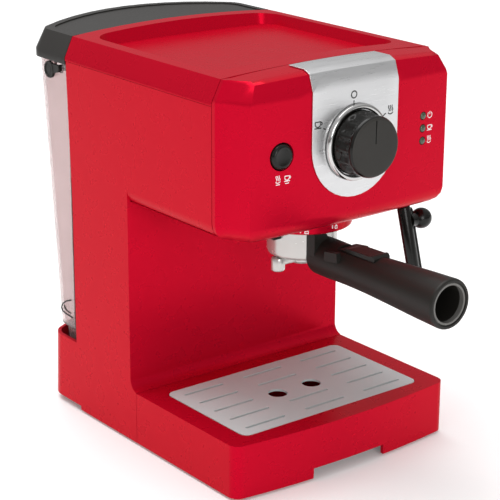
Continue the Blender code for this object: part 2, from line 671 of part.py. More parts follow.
def build_steam_wand():
    ball = [(8 * math.sin(math.radians(a)), -8 * math.cos(math.radians(a))) for a in range(0, 181, 20)]
    ball[0] = (0, -8)
    ball[-1] = (0, 8)
    finish(turned("wand_ball", ball, WAND, steps=18), BLACK, 0.35, pivot=WAND)
    finish(ring_solid("wand_seat", 8.7, 11.8, HEAD_Z + WALL + GAP, 200, (WAND[0], WAND[1], 0), steps=24),
           (0.55, 0.38, 0.16), 0.35, 1.0)
    tube = turned("wand_tube", [(0, -81), (1.6, -81), (2.9, -79), (2.9, -8.4), (0, -8.4)], WAND, steps=16,
                  tilt=WAND_LEAN)
    finish(tube, STEEL, 0.25, 1.0, pivot=WAND)
    sleeve = turned("froth_sleeve", [(3.2, -77), (4.6, -77), (5.0, -75), (5.0, -13.5), (4.4, -12.5),
                                     (3.2, -12.5)], WAND, steps=24, tilt=WAND_LEAN)
    corners = [along_wand(*place) for place in ((73, 4.3), (73, 6.9), (17, 6.9), (17, 4.3))]
    rib = loft("rib", [[(x, y + shift, z) for x, y, z in corners] for shift in (-1.4, 1.4)])
    join(sleeve, rib)
    finish(sleeve, BLACK, 0.4, pivot=WAND)
    grip = along_wand(25, 15.5)
    radius = 7.6
    lever = turned("wand_lever", [(radius * math.sin(math.radians(a)) if 0 < a < 180 else 0,
                                   -radius * math.cos(math.radians(a))) for a in range(0, 181, 20)],
                   grip, "X", 18)
    join(lever, box("neck", grip[0] - 8.4, grip[0] - 2, grip[1] - 3.5, grip[1] + 3.5, grip[2] - 4.5, grip[2] + 4.5))
    finish(lever, BLACK, 0.4, pivot=WAND)


# ---- water tank ----

def tank_section(half_w, rear_y, z, front_gap=0.6, corner_r=REAR_CORNER_R, rise=None):
    """A front row and a back row of the tank or lid at one height."""
    back = bowed_rear(half_w, rear_y, corner_r)
    lift = rise or (lambda x: 0)
    front_row = [(x, top_rear(x) + front_gap, z + lift(x)) for x, y in back]
    back_row = [(x, y, z + lift(x)) for x, y in back]
    return front_row, back_row


def build_water_tank():
    taper = (280.0 - 261.0) / (TANK_TOP - TANK_STEP)
    tank = strip_loft("water_tank", [
        tank_section(93.5, 256, TANK_BOTTOM), tank_section(93.5, 257, TANK_STEP - 2),
        tank_section(TANK_HALF_W, 261, TANK_STEP + 2), tank_section(TANK_HALF_W, 280, TANK_TOP)])
    w = TANK_WALL
    hollow = strip_loft("hollow", [
        tank_section(91, 253.5, TANK_BOTTOM + w, 0.6 + w, 15.5),
        tank_section(91, 254.5, TANK_STEP - 1, 0.6 + w, 15.5),
        tank_section(TANK_HALF_W - w, 258.5, TANK_STEP + 3, 0.6 + w, 15.5),
        tank_section(TANK_HALF_W - w, 277.5 + 8 * taper, TANK_TOP + 8, 0.6 + w, 15.5)])
    y, z = BAIL_BAR
    cut(tank, box("bail_notch", -120, 120, y - 3.4, y + 6.6, z - 3.2, TANK_TOP + 5), hollow,
        rod("valve_hole", 6.5, 20, 45, (0, VALVE_Y, 0), steps=20))

    valve = turned("tank_valve", [(0, 32), (5, 32), (6, 33), (6, 46), (4, 49), (0, 49)], (0, VALVE_Y, 0), steps=20)
    finish(valve, BLACK, 0.5)
    finish(ring_solid("tank_seal", 6.0, 8.8, 27.2, 31.5, (0, VALVE_Y, 0), steps=24), BLACK, 0.85)

    inset = CHAMFER_W
    lid = strip_loft("tank_lid", [
        tank_section(HALF_W, REAR_Y, LID_BOTTOM), tank_section(HALF_W, REAR_Y, CHAMFER_Z),
        tank_section(HALF_W - inset, REAR_Y - inset, TOP_Z, corner_r=11, rise=crown)])
    w = TANK_WALL
    hollow = strip_loft("hollow", [
        tank_section(HALF_W - w, REAR_Y - w, LID_BOTTOM - 8, 0.6 + w, 15.5),
        tank_section(HALF_W - w, REAR_Y - w, CHAMFER_Z - 0.8, 0.6 + w, 15.5),
        tank_section(HALF_W - inset - w, REAR_Y - inset - w, TOP_Z - w - 0.5, 0.6 + w, 9)])
    panel = strip_loft("panel", [  # shallow field inside the border, open towards the seam
        tank_section(86, 269.5, TOP_Z - 1.0, -6, 14, crown), tank_section(86, 269.5, TOP_Z + 6, -6, 14, crown)])
    cut(lid, hollow, panel)
    hinge = (0, *LID_HINGE)
    finish(lid, DARK, 0.45, pivot=hinge)

    y, z = TANK_PIVOT
    bar_y, bar_z = BAIL_BAR
    handle = rod("tank_handle", 2.6, -HALF_W, HALF_W, (0, bar_y, bar_z), "X", 16)
    for name, side in (("left", -1), ("right", 1)):
        inner, outer = sorted((side * (TANK_HALF_W + GAP), side * HALF_W))
        join(handle, rod(f"boss_{name}", 6.5, inner, outer, (0, y, z), "X", 24))
        arm = [(bar_y - 2.4, bar_z - 2.5), (y + 1, z - 4), (y + 1, z + 5), (bar_y - 2.4, bar_z + 2.5)]
        join(handle, prism(f"arm_{name}", arm, "X", inner, outer))
    finish(tank, (0.60, 0.50, 0.50), 0.15, alpha=0.5)
    finish(handle, BLACK, 0.4, pivot=(0, y, z))


def main():
    for old in list(bpy.data.objects):
        bpy.data.objects.remove(old)
    build_main_housing()
    build_top_cover()
    build_front_mask()
    build_trim_plate()
    build_brew_collar()
    build_rear_panel()
    build_base()
    build_cord_gland()
    build_drip_tray()
    build_group()
    build_water_path()
    build_controls()
    build_portafilter()
    build_steam_wand()
    build_water_tank()


main()
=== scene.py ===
import json
import math

import bmesh
import bpy
from mathutils import Matrix, Vector
from mathutils.bvhtree import BVHTree


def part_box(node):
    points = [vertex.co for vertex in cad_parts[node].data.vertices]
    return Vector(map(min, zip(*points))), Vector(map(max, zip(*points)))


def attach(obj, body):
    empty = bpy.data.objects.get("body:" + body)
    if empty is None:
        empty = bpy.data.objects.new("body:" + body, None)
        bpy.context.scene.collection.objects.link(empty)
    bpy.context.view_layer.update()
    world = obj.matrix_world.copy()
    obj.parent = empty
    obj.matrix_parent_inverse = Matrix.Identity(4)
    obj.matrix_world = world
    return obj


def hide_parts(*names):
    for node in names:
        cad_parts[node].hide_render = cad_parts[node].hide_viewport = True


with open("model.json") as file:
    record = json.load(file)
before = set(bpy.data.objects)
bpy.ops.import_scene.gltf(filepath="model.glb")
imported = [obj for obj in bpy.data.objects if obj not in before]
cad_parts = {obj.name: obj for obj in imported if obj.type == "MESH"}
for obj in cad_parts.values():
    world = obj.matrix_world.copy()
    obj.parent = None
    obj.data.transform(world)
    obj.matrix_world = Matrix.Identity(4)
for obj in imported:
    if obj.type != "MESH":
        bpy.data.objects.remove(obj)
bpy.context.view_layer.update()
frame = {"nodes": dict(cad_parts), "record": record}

# Looks of a pump espresso machine: red moulded housing, steel trim, portafilter, steam wand, drip tray
# and smoked water tank. The frame is in metres, and mm turns millimetres into metres.
nodes = frame["nodes"]
mm = 0.001
footHeight = 2.0  # mm from the floor up to the housing's lower edge
frontToMiddle = 91.5  # mm from the front panel back to the middle of the footprint
print("frame loaded with", len(nodes), "nodes")


def at(x, y, z):
    # a place in mm: x from the middle, y back from the front panel, z up from the housing's lower edge
    return Vector((x, y - frontToMiddle, z + footHeight)) * mm


def middleOf(node):
    # the middle of a node's box, in the same mm as at()
    low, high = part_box(node)
    centre = (Vector(low) + Vector(high)) / 2 / mm
    return Vector((centre.x, centre.y + frontToMiddle, centre.z - footHeight))


# Camera, floor and light

cameraSetup = {
    "place": (-0.7409, -0.9264, 0.5349),
    "heading": 38.016,  # degrees from straight ahead towards the right
    "down": 18.331,
    "roll": 0.27,
    "lens": 120.9,
}

studio = {
    "floorSize": 30.0,
    "floorTone": "FAFAFA",
    "floorGlow": 0.12,  # lifts the floor to plain white
    "skyTone": "FFFFFF",
    "skyLow": 0.22,  # the sky is dim near the horizon and brighter overhead, as under a ceiling softbox
    "skyHigh": 0.75,
    "lights": {  # place, side of the square panel in metres, power in watts
        "topPanel": ((-0.2, 0.9, 3.0), 2.6, 72.0),
        "leftPanel": ((-2.4, -0.8, 1.2), 1.2, 1.2),
        "frontPanel": ((-0.7, -2.2, 0.9), 1.0, 15.0),
    },
}


def toLinear(hexTone, alpha=1.0):
    channels = [int(hexTone[i:i + 2], 16) / 255 for i in (0, 2, 4)]
    linear = [c / 12.92 if c <= 0.04045 else ((c + 0.055) / 1.055) ** 2.4 for c in channels]
    return (*linear, alpha)


def addNode(tree, kind, settings=None, links=None):
    # settings name a socket (or its number) or a property of the node, links join a socket to an output
    node = tree.nodes.new(kind)
    for name, value in (settings or {}).items():
        if isinstance(name, int) or name in node.inputs:
            node.inputs[name].default_value = value
        else:
            setattr(node, name, value)
    for name, source in (links or {}).items():
        tree.links.new(source, node.inputs[name])
    return node


def makeCamera(setup):
    data = bpy.data.cameras.new("camera")
    data.lens = setup["lens"]
    data.sensor_width = 36
    data.clip_start = 0.05
    data.clip_end = 50
    camera = bpy.data.objects.new("camera", data)
    turn = Matrix.Rotation(math.radians(-setup["heading"]), 4, "Z")
    tilt = Matrix.Rotation(math.radians(90 - setup["down"]), 4, "X")
    roll = Matrix.Rotation(math.radians(setup["roll"]), 4, "Z")
    camera.matrix_world = Matrix.Translation(setup["place"]) @ turn @ tilt @ roll
    bpy.context.scene.collection.objects.link(camera)
    bpy.context.scene.camera = camera


def makeStudio(setup):
    half = setup["floorSize"] / 2
    mesh = bpy.data.meshes.new("floor")
    mesh.from_pydata([(-half, -half, 0), (half, -half, 0), (half, half, 0), (-half, half, 0)], [],
                     [(0, 1, 2, 3)])
    floor = bpy.data.objects.new("floor", mesh)
    bpy.context.scene.collection.objects.link(floor)
    paint = bpy.data.materials.new("mattFloorPaint")  # plain pale studio floor
    paint.use_nodes = True
    shader = paint.node_tree.nodes["Principled BSDF"]
    shader.inputs["Base Color"].default_value = toLinear(setup["floorTone"])
    shader.inputs["Roughness"].default_value = 0.9
    shader.inputs["Specular IOR Level"].default_value = 0.1
    shader.inputs["Emission Color"].default_value = toLinear("FFFFFF")
    shader.inputs["Emission Strength"].default_value = setup["floorGlow"]
    mesh.materials.append(paint)

    world = bpy.data.worlds.new("studioSky")
    world.use_nodes = True
    tree = world.node_tree
    background = tree.nodes["Background"]
    background.inputs["Color"].default_value = toLinear(setup["skyTone"])
    way = addNode(tree, "ShaderNodeTexCoord").outputs["Generated"]
    axes = addNode(tree, "ShaderNodeSeparateXYZ", links={0: way})
    fade = addNode(tree, "ShaderNodeMapRange", {"From Min": 0.0, "From Max": 0.9, "To Min": setup["skyLow"],
                                                "To Max": setup["skyHigh"]}, {"Value": axes.outputs["Z"]})
    tree.links.new(fade.outputs["Result"], background.inputs["Strength"])
    bpy.context.scene.world = world

    aim = Vector((0, 0, 0.15))
    for name, (place, side, power) in setup["lights"].items():
        data = bpy.data.lights.new(name, "AREA")
        data.size = side
        data.energy = power
        light = bpy.data.objects.new(name, data)
        light.location = place
        light.rotation_euler = (aim - Vector(place)).to_track_quat("-Z", "Y").to_euler()
        bpy.context.scene.collection.objects.link(light)
    bpy.context.scene.view_settings.view_transform = "Standard"


makeCamera(cameraSetup)
makeStudio(studio)
print("camera and studio ready")


# Materials

def newMaterial(name, tone, roughness, metallic=0.0, **sockets):
    material = bpy.data.materials.new(name)
    material.use_nodes = True
    shader = material.node_tree.nodes["Principled BSDF"]
    shader.inputs["Base Color"].default_value = toLinear(tone)
    shader.inputs["Roughness"].default_value = roughness
    shader.inputs["Metallic"].default_value = metallic
    for socket, value in sockets.items():
        shader.inputs[socket.replace("_", " ")].default_value = value
    return material


def addSurface(material, toneA, toneB, patchMm, roughLow, roughHigh, grainMm, grainHeightMm,
               stretch=(1, 1, 1)):
    # Slow patches of colour and gloss, and a fine grain that stands up by grainHeightMm. stretch lengthens
    # the grain along an axis, as brushing does.
    tree = material.node_tree
    shader = tree.nodes["Principled BSDF"]
    place = addNode(tree, "ShaderNodeTexCoord").outputs["Object"]
    patches = addNode(tree, "ShaderNodeTexNoise", {"Scale": 1 / (patchMm * mm), "Detail": 3.0},
                      {"Vector": place})
    tones = addNode(tree, "ShaderNodeMix", {"data_type": "RGBA", 6: toLinear(toneA), 7: toLinear(toneB)},
                    {0: patches.outputs["Fac"]})
    tree.links.new(tones.outputs[2], shader.inputs["Base Color"])
    shaped = addNode(tree, "ShaderNodeMapping", {"Scale": [1 / s for s in stretch]}, {"Vector": place})
    grain = addNode(tree, "ShaderNodeTexNoise", {"Scale": 1 / (grainMm * mm), "Detail": 4.0},
                    {"Vector": shaped.outputs["Vector"]})
    gloss = addNode(tree, "ShaderNodeMapRange", {"To Min": roughLow, "To Max": roughHigh, "From Min": 0.3,
                                                 "From Max": 0.7}, {"Value": grain.outputs["Fac"]})
    tree.links.new(gloss.outputs["Result"], shader.inputs["Roughness"])
    if grainHeightMm:
        bump = addNode(tree, "ShaderNodeBump", {"Strength": 0.6, "Distance": grainHeightMm * mm},
                       {"Height": grain.outputs["Fac"]})
        tree.links.new(bump.outputs["Normal"], shader.inputs["Normal"])
    return material


# Injection-moulded ABS with a deep red lacquer: reflections keep the colour, hence the metallic value, and
# they are soft-edged, with slow changes of gloss where the lacquer pooled
lacqueredABS = addSurface(newMaterial("lacqueredABS", "C60B29", 0.28, 0.35, Specular_IOR_Level=0.15,
                                      Specular_Tint=toLinear("E8203C")),
                          "C40A28", "C80C2A", 70, 0.26, 0.30, 14, 0)
# Stainless sheet brushed lengthwise: grey, long fine streaks that smear the reflections sideways
brushedStainless = addSurface(newMaterial("brushedStainless", "DCDCDD", 0.3, 0.9),
                              "D8D8D9", "E0E0E1", 40, 0.26, 0.40, 0.5, 0.008, stretch=(60, 1, 1))
# Punched stainless sheet with a rolled dull finish: even mid grey, hardly any reflection of the column
rolledStainless = addSurface(newMaterial("rolledStainless", "CCD4D4", 0.5, Specular_IOR_Level=0.2),
                             "C8D0D0", "D0D8D8", 30, 0.44, 0.56, 0.7, 0.008, stretch=(30, 1, 1))
# Pressed brass with satin chrome plating: soft grey, bright only where an edge catches the light
satinChrome = addSurface(newMaterial("satinChrome", "C6C4C1", 0.24, 0.55, Specular_IOR_Level=0.6),
                         "C3C1BE", "CAC8C5", 20, 0.2, 0.28, 7, 0.002)
# Die-cast zinc with bright chrome plating: mirror with very slight waviness of the casting
chromePlate = addSurface(newMaterial("chromePlate", "C9C8C7", 0.08, 1.0),
                         "C6C5C4", "CCCBCA", 20, 0.05, 0.12, 7, 0.004)
# Turned and tumbled stainless: satin, no direction
satinSteel = addSurface(newMaterial("satinSteel", "B0AFAC", 0.3, 1.0), "A8A7A4", "B8B7B4", 12, 0.24, 0.36,
                        0.6, 0.004)
# Black ABS with a fine spark-eroded texture: broad dull highlight
satinBlackABS = addSurface(newMaterial("satinBlackABS", "1E1C19", 0.42, Specular_IOR_Level=0.25),
                           "1C1A17", "23211E", 30, 0.38, 0.52, 0.7, 0.012)
# The same ABS, a coarser texture that scatters more light, on the knob's front
faceBlackABS = addSurface(newMaterial("faceBlackABS", "2E2C29", 0.55, Specular_IOR_Level=0.3),
                          "2B2926", "32302D", 18, 0.5, 0.62, 0.7, 0.012)
# Black ABS from a polished tool: deep, with narrow reflections
polishedBlackABS = addSurface(newMaterial("polishedBlackABS", "100F0D", 0.24, Specular_IOR_Level=0.3),
                              "0E0D0B", "13120F", 15, 0.2, 0.28, 4, 0.004)
# Dark grey ABS, spark-eroded, used where the case is not red
satinGreyABS = addSurface(newMaterial("satinGreyABS", "2F2D2B", 0.42, Specular_IOR_Level=0.3),
                          "2C2A28", "343230", 35, 0.38, 0.52, 0.8, 0.012)
# Mid grey ABS, spark-eroded, laid on as painted light: it stands in for light falling on the inner rim of the
# handle's open end
rimLightGreyABS = addSurface(newMaterial("rimLightGreyABS", "6B6966", 0.45, Specular_IOR_Level=0.4),
                           "666461", "72706D", 20, 0.4, 0.52, 0.8, 0.01)
# Vulcanised rubber: dead black, dusty. The same black also paints the shade in the slit between housing and
# tank
blackRubberAndGapShade = addSurface(newMaterial("blackRubberAndGapShade", "161616", 0.8, Specular_IOR_Level=0.3),
                              "141414", "1C1C1C", 8, 0.72, 0.9, 0.5, 0.02)
# Gravity-cast aluminium, as cast: pale grey with a sandy skin
castAluminium = addSurface(newMaterial("castAluminium", "B8B9BA", 0.5, 1.0), "ABACAD", "C2C3C4", 10, 0.42,
                           0.6, 0.9, 0.05)
# Turned brass: yellow metal with tool rings
turnedBrass = addSurface(newMaterial("turnedBrass", "C9A45C", 0.3, 1.0), "C29C54", "D0AC66", 8, 0.22, 0.36,
                         0.4, 0.008)
# Extruded silicone hose: milky and soft
siliconeHose = addSurface(newMaterial("siliconeHose", "D6D5CF", 0.5, Transmission_Weight=0.2),
                          "D0CFC8", "DCDBD6", 10, 0.45, 0.6, 1.5, 0.01)
# Glass-filled nylon housings: pale grey, slightly fibrous
filledNylon = addSurface(newMaterial("filledNylon", "8C8B86", 0.55), "84837E", "949389", 12, 0.48, 0.64,
                         0.8, 0.02)
# Fibreglass circuit board with green solder resist over the weave
solderResist = addSurface(newMaterial("solderResist", "1F6B3A", 0.35), "1B6335", "247542", 6, 0.3, 0.42,
                          0.9, 0.02)
# Screen-printed ink, thin and matt
whiteInk = addSurface(newMaterial("whiteInk", "F6F0F0", 0.55), "F2ECEC", "FAF5F5", 3, 0.5, 0.62, 0.4, 0.002)
blackInk = addSurface(newMaterial("blackInk", "1E1D1C", 0.55), "1B1A19", "242322", 3, 0.5, 0.62, 0.4, 0.002)
# Moulded polycarbonate light pipe: dark smoky green when unlit
smokedLens = addSurface(newMaterial("smokedLens", "3C4A34", 0.15, Coat_Weight=0.4), "34422E", "465440", 3,
                        0.1, 0.2, 1.0, 0.004)


def makeSmokedSAN():
    # Clear SAN with a rosy brown tint, injection-moulded: see-through, with slow ripples from the melt
    material = newMaterial("smokedSAN", "EAD8D8", 0.12, IOR=1.35)
    tree = material.node_tree
    shader = tree.nodes["Principled BSDF"]
    shader.inputs["Transmission Weight"].default_value = 0.85
    place = addNode(tree, "ShaderNodeTexCoord").outputs["Object"]
    ripple = addNode(tree, "ShaderNodeTexNoise", {"Scale": 1 / (25 * mm), "Detail": 2.0}, {"Vector": place})
    tint = addNode(tree, "ShaderNodeMix", {"data_type": "RGBA", 6: toLinear("EEDCDC"), 7: toLinear("E4D2D1")},
                   {0: ripple.outputs["Fac"]})
    tree.links.new(tint.outputs[2], shader.inputs["Base Color"])
    bump = addNode(tree, "ShaderNodeBump", {"Strength": 0.4, "Distance": 0.05 * mm},
                   {"Height": ripple.outputs["Fac"]})
    tree.links.new(bump.outputs["Normal"], shader.inputs["Normal"])
    return material


smokedSAN = makeSmokedSAN()

finishes = {  # the record's slots and the material each takes
    "red_gloss": lacqueredABS,
    "brushed_stainless": brushedStainless,
    "chrome": chromePlate,
    "satin_steel": satinSteel,
    "black_plastic": satinBlackABS,
    "grey_plastic": satinGreyABS,
    "smoke_tank": smokedSAN,
    "rubber": blackRubberAndGapShade,
    "aluminium": castAluminium,
    "brass": turnedBrass,
    "hose": siliconeHose,
    "switch_plastic": filledNylon,
    "board": solderResist,
    "lamp_lens": smokedLens,
}
slotOf = {part["node"]: part["material_slot"] for part in frame["record"]["subparts"]}
print("materials ready:", len(finishes))


# Mesh tools

def newPiece(name, points, faces, material, sharpDegrees=38):
    mesh = bpy.data.meshes.new(name)
    mesh.from_pydata([at(*point) for point in points], [], faces)
    draft = bmesh.new()
    draft.from_mesh(mesh)
    bmesh.ops.recalc_face_normals(draft, faces=draft.faces)
    draft.to_mesh(mesh)
    draft.free()
    mesh.shade_smooth()
    mesh.set_sharp_from_angle(angle=math.radians(sharpDegrees))
    mesh.materials.append(material)
    piece = bpy.data.objects.new(name, mesh)
    bpy.context.scene.collection.objects.link(piece)
    return piece


def skin(name, rings, material, closed=False, **options):
    # Joins rings of points. A ring of one point closes an end, and closed joins the last ring to the first.
    points, numbers = [], []
    for ring in rings:
        numbers.append(range(len(points), len(points) + len(ring)))
        points += ring
    faces = []
    pairs = list(zip(numbers, numbers[1:])) + ([(numbers[-1], numbers[0])] if closed else [])
    for a, b in pairs:
        count = max(len(a), len(b))
        for i in range(count):
            j = (i + 1) % count
            corners = [a[i % len(a)], a[j % len(a)], b[j % len(b)], b[i % len(b)]]
            faces.append(list(dict.fromkeys(corners)))
    if not closed:
        faces += [list(ring) for ring in (numbers[0], numbers[-1]) if len(ring) > 2]
    return newPiece(name, points, faces, material, **options)


def turned(name, profile, centre, axis, material, steps=96, lean=0.0, bite=None, **options):
    # Turns (radius, height) points about an axis through centre. bite(angle, height) is taken off the radius.
    rings = []
    for radius, height in profile:
        ring = []
        for i in range(1 if radius == 0 else steps):
            angle = 2 * math.pi * i / steps
            reach = radius - (bite(angle, height) if bite and radius else 0)
            u, v = reach * math.cos(angle), reach * math.sin(angle)
            if axis == "Y":
                local = (u, height, v)
            elif axis == "X":
                local = (height, u, v)
            else:
                local = (u, v * math.cos(lean) + height * math.sin(lean),
                         height * math.cos(lean) - v * math.sin(lean))
            ring.append(tuple(c + d for c, d in zip(centre, local)))
        rings.append(ring)
    return skin(name, rings, material, closed=profile[0][0] != 0, **options)


def plank(name, outline, axis, low, high, material, **options):
    # Extrudes an outline along X (points are y, z), Y (x, z) or Z (x, y)
    order = {"X": (2, 0, 1), "Y": (0, 2, 1), "Z": (0, 1, 2)}[axis]
    rings = [[tuple((u, v, w)[n] for n in order) for u, v in outline] for w in (low, high)]
    return skin(name, rings, material, **options)


def hose(name, route, radius, material, sides=16):
    # A round bar along a list of places, with domed ends
    spine = [Vector(p) for p in route]
    turns = [2 * math.pi * i / sides for i in range(sides)]
    domeTip, domeWaist, waistShrink = 0.9, 0.75, 0.6  # in radii
    rings, normal = [], None

    def ring(spot, ahead, side, shrink, shift):
        centre = spot + shift * ahead
        return [tuple(centre + shrink * radius * (math.cos(t) * normal + math.sin(t) * side)) for t in turns]

    for k, spot in enumerate(spine):
        ahead = (spine[min(k + 1, len(spine) - 1)] - spine[max(k - 1, 0)]).normalized()
        if normal is None:
            normal = ahead.orthogonal().normalized()
        else:
            normal = (normal - ahead * normal.dot(ahead)).normalized()
        side = ahead.cross(normal)
        if k == 0:
            tip = [tuple(spot - domeTip * radius * ahead)]
            rings += [tip, ring(spot, ahead, side, waistShrink, -domeWaist * radius)]
        rings.append(ring(spot, ahead, side, 1, 0))
        if k == len(spine) - 1:
            tip = [tuple(spot + domeTip * radius * ahead)]
            rings += [ring(spot, ahead, side, waistShrink, domeWaist * radius), tip]
    return skin(name, rings, material)


def arcPoints(centre, radius, start, end, steps):
    turns = [math.radians(start + (end - start) * i / steps) for i in range(steps + 1)]
    return [(centre[0] + radius * math.cos(t), centre[1] + radius * math.sin(t)) for t in turns]


def shape(piece, operation, *tools):
    # cuts, joins or intersects the piece with tools, which are used up
    for tool in tools:
        change = piece.modifiers.new(tool.name, "BOOLEAN")
        change.operation = operation
        change.solver = "EXACT"
        change.object = tool
        result = bpy.data.meshes.new_from_object(piece.evaluated_get(bpy.context.evaluated_depsgraph_get()))
        piece.modifiers.clear()
        piece.data = result
        bpy.data.objects.remove(tool)
    return piece


def softenEdges(piece, radiusMm, angleDegrees=32, flatDegrees=0.4):
    # the small radius that a mould, a press tool or a polishing wheel leaves on an edge
    piece.data.shade_smooth()
    weld = piece.modifiers.new("weld", "WELD")
    weld.merge_threshold = 0.01 * mm
    flat = piece.modifiers.new("flat", "DECIMATE")
    flat.decimate_type = "DISSOLVE"
    flat.angle_limit = math.radians(flatDegrees)
    bevel = piece.modifiers.new("edgeRadius", "BEVEL")
    bevel.width = radiusMm * mm
    bevel.segments = 3
    bevel.limit_method = "ANGLE"
    bevel.angle_limit = math.radians(angleDegrees)
    bevel.use_clamp_overlap = True
    bevel.miter_outer = "MITER_ARC"
    normals = piece.modifiers.new("normals", "WEIGHTED_NORMAL")
    normals.keep_sharp = False
    return piece


def settle(piece, body, slot, *replaced):
    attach(piece, body)
    if replaced:
        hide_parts(*replaced)


# Carried-over nodes

edgeRounding = {  # radius in mm on the edges of each carried-over node
    "main_housing": 0.8, "top_cover": 1.0, "front_mask": 1.0, "trim_plate": 0.3, "tray_frame": 1.2,
    "drip_basin": 0.5, "drip_grid": 0.12, "tank_lid": 0.7, "rear_panel": 0.4, "base_plate": 0.5,
    "water_tank": 0.7, "lug_left": 0.6, "lug_right": 0.6,
}
ownFinish = {"drip_grid": rolledStainless}
for name, piece in nodes.items():
    piece.data.materials.clear()
    piece.data.materials.append(ownFinish.get(name, finishes[slotOf[name]]))
    if name in edgeRounding:
        softenEdges(piece, edgeRounding[name])
print("carried-over nodes finished")


# Selector knob and its bezel

knobSizes = {
    "centre": (0, 0, 243), "baseRadius": 22.6, "sideRadius": 22.3, "frontRadius": 21.5, "baseY": -5.0,
    "rimY": -21.8, "faceY": -24.5, "scallops": 14, "scallopDepth": 1.7, "pointerHalf": 0.5,
    "pointerLow": 3.0, "pointerHigh": 18.4, "pointerDepth": 0.6,
}


def makeKnob(k):
    deepFrom, deepTo = k["rimY"] + 1.2, k["baseY"] - 4.2
    levels = [deepFrom + (deepTo - deepFrom) * i / 12 for i in range(13)]
    profile = [(0, k["faceY"] + 0.35), (12, k["faceY"] + 0.25), (18.6, k["faceY"]), (19.6, k["faceY"] + 0.1),
               (20.5, k["faceY"] + 0.7), (21.1, k["faceY"] + 1.7), (k["frontRadius"], k["rimY"])]
    swell = k["sideRadius"] - k["frontRadius"]
    profile += [(k["frontRadius"] + swell * i / 12, y) for i, y in enumerate(levels)]
    profile += [(k["baseRadius"], deepTo + 1.2), (k["baseRadius"], k["baseY"] - 0.3),
                (k["baseRadius"] - 0.3, k["baseY"]), (0, k["baseY"])]

    def bite(angle, y):
        if not deepFrom < y < deepTo:
            return 0
        run = (y - deepFrom) / (deepTo - deepFrom)
        depth = min(1, 6 * run, 6 * (1 - run))  # runs out softly at both ends
        return k["scallopDepth"] * depth * abs(math.sin(angle * k["scallops"] / 2)) ** 1.5

    knob = turned("scallopedKnob", profile, k["centre"], "Y", polishedBlackABS, steps=k["scallops"] * 16,
                  bite=bite)
    x, _, z = k["centre"]
    half, deep = k["pointerHalf"], k["faceY"] + k["pointerDepth"]
    groove = arcPoints((x, z + k["pointerLow"]), half, 180, 360, 6)
    groove += arcPoints((x, z + k["pointerHigh"]), half, 0, 180, 6)
    shape(knob, "DIFFERENCE", plank("groove", groove, "Y", k["faceY"] - 2, deep, polishedBlackABS))
    knob.data.materials.append(faceBlackABS)
    faceEdge = at(0, k["faceY"] + 0.45, 0).y
    for polygon in knob.data.polygons:
        if polygon.center.y < faceEdge and polygon.normal.y < -0.8:
            polygon.material_index = 1
    knob.data.set_sharp_from_angle(angle=math.radians(38))
    settle(knob, "selector", "black_plastic", "knob")


def makeBezel(k):
    profile = [(23.2, -4.7), (23.2, -6.4), (23.5, -7.1), (24.2, -7.55), (25.0, -7.6), (25.8, -7.4),
               (26.5, -6.9), (26.9, -6.2), (27, -5.6), (27, -4.7)]
    bezel = turned("knobBezelRing", profile, k["centre"], "Y", chromePlate, steps=128)
    settle(bezel, "housing", "chrome", "knob_bezel")


makeKnob(knobSizes)
makeBezel(knobSizes)
print("knob and bezel made")


# Push button and lamps

buttonSizes = {"radius": 9.2, "frontY": -3.6, "dish": 0.9, "backY": 6.0}


def makeButton(b):
    centre = middleOf("push_button")
    profile = [(0, b["frontY"] + b["dish"])]
    profile += [(r, b["frontY"] + b["dish"] * (1 - (r / 6.8) ** 2)) for r in (1.5, 3, 4.5, 5.8, 6.8)]
    profile += [(7.6, -3.3), (8.4, -2.4), (8.9, -1.3), (b["radius"], 0.2), (b["radius"], b["backY"]),
                (0, b["backY"])]
    button = turned("dishedButton", profile, (centre.x, 0, centre.z), "Y", polishedBlackABS, steps=72)
    settle(button, "button", "black_plastic", "push_button")


def makeLamps():
    for node in ("lamp_power", "lamp_cup", "lamp_steam"):
        centre = middleOf(node)
        dome = [(2.6 * math.sin(math.radians(a)), -1.2 - 1.2 * math.cos(math.radians(a)))
                for a in range(0, 91, 15)]
        dome[0] = (0, -2.4)
        lens = turned(node + "Lens", dome + [(2.6, 4.4), (0, 4.4)], (centre.x, 0, centre.z), "Y",
                      smokedLens, steps=40)
        settle(lens, "housing", "lamp_lens", node)


makeButton(buttonSizes)
makeLamps()
print("button and lamps made")


# Brew collar

collarSizes = {"centre": (0, 52, 0), "inner": 32.6, "outer": 36.0, "low": 173.0, "high": 184.6}


def makeCollar(c):
    low, high, outer, inner = c["low"], c["high"], c["outer"], c["inner"]
    profile = [(inner, low + 0.4), (inner, high), (outer, high), (outer, low + 1.4), (outer - 0.3, low + 0.6),
               (outer - 0.9, low + 0.1), (outer - 1.6, low), (inner + 0.4, low)]
    collar = turned("brewCollarShell", profile, c["centre"], "Z", lacqueredABS, steps=120)
    settle(collar, "housing", "red_gloss", "brew_collar")


makeCollar(collarSizes)
print("brew collar made")


# Portafilter

bowlSizes = {"centre": (0, 52, 0), "radius": 25.5, "low": 150.0, "high": 178.5}
spoutSizes = {"span": 22.0, "tubeRadius": 5.0, "boreRadius": 3.7, "low": 139.5, "top": 149.6, "barHalf": 4.0,
              "barEdge": 1.8, "barLow": 143.6}
handleSizes = {"axis": (0, 0, 153), "endY": -101.0, "clearRadius": 25.8}
clipSizes = {"halfWidth": 7.3, "frontY": -3.5, "endY": -33.8, "baseZ": 164.9}


